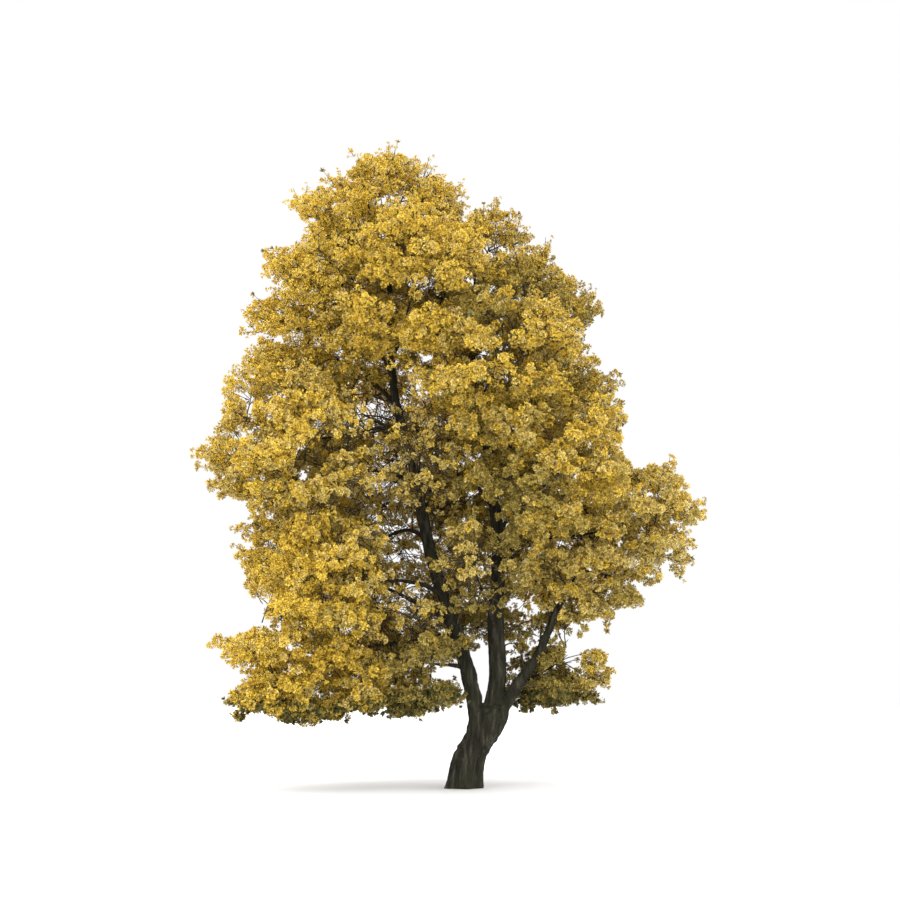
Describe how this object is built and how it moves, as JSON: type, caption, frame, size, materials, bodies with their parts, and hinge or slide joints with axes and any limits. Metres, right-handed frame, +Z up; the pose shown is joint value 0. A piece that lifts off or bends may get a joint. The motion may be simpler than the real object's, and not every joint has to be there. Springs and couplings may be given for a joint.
{
  "type": "trumpet tree",
  "caption": "Whole flowering tree: a leaning trunk with a root flare forks low into leaders and arching boughs that carry rounded masses of yellow blossom.",
  "frame": {"origin": "on the ground, in the middle of the trunk's flat cut foot", "axes": "+Z up, +X to the right as seen from the tree's front, -Y towards the front"},
  "size_m": [7.5128, 6.2636, 9.6508],
  "materials": {
    "bark": "rough, furrowed bark",
    "blossom": "soft matte petals"
  },
  "bodies": {
    "root": {"blossom_back_bottom": "blossom", "blossom_back_left": "blossom", "blossom_back_low": "blossom", "blossom_back_low_left": "blossom", "blossom_back_low_right": "blossom", "blossom_back_middle": "blossom", "blossom_back_right": "blossom", "blossom_back_top": "blossom", "blossom_bottom_left": "blossom", "blossom_bottom_middle": "blossom", "blossom_bottom_right": "blossom", "blossom_crown_top": "blossom", "blossom_far_right": "blossom", "blossom_front_heart": "blossom", "blossom_front_left": "blossom", "blossom_front_low": "blossom", "blossom_front_middle": "blossom", "blossom_front_right": "blossom", "blossom_front_side": "blossom", "blossom_front_top": "blossom", "blossom_heart": "blossom", "blossom_left": "blossom", "blossom_left_low": "blossom", "blossom_right": "blossom", "blossom_right_low": "blossom", "blossom_shoulder_left": "blossom", "blossom_shoulder_right": "blossom", "blossom_top_left": "blossom", "blossom_top_right": "blossom", "bough_back_bottom": "bark", "bough_back_left": "bark", "bough_back_low": "bark", "bough_back_low_left": "bark", "bough_back_low_right": "bark", "bough_back_middle": "bark", "bough_back_right": "bark", "bough_back_top": "bark", "bough_bottom_left": "bark", "bough_bottom_middle": "bark", "bough_bottom_right": "bark", "bough_far_right": "bark", "bough_front_heart": "bark", "bough_front_left": "bark", "bough_front_low": "bark", "bough_front_middle": "bark", "bough_front_right": "bark", "bough_front_side": "bark", "bough_front_top": "bark", "bough_heart": "bark", "bough_left": "bark", "bough_left_low": "bark", "bough_right": "bark", "bough_shoulder_left": "bark", "bough_shoulder_right": "bark", "bough_top_left": "bark", "left_leader": "bark", "middle_leader": "bark", "right_leader": "bark", "trunk": "bark"}
  },
  "joints": []
}
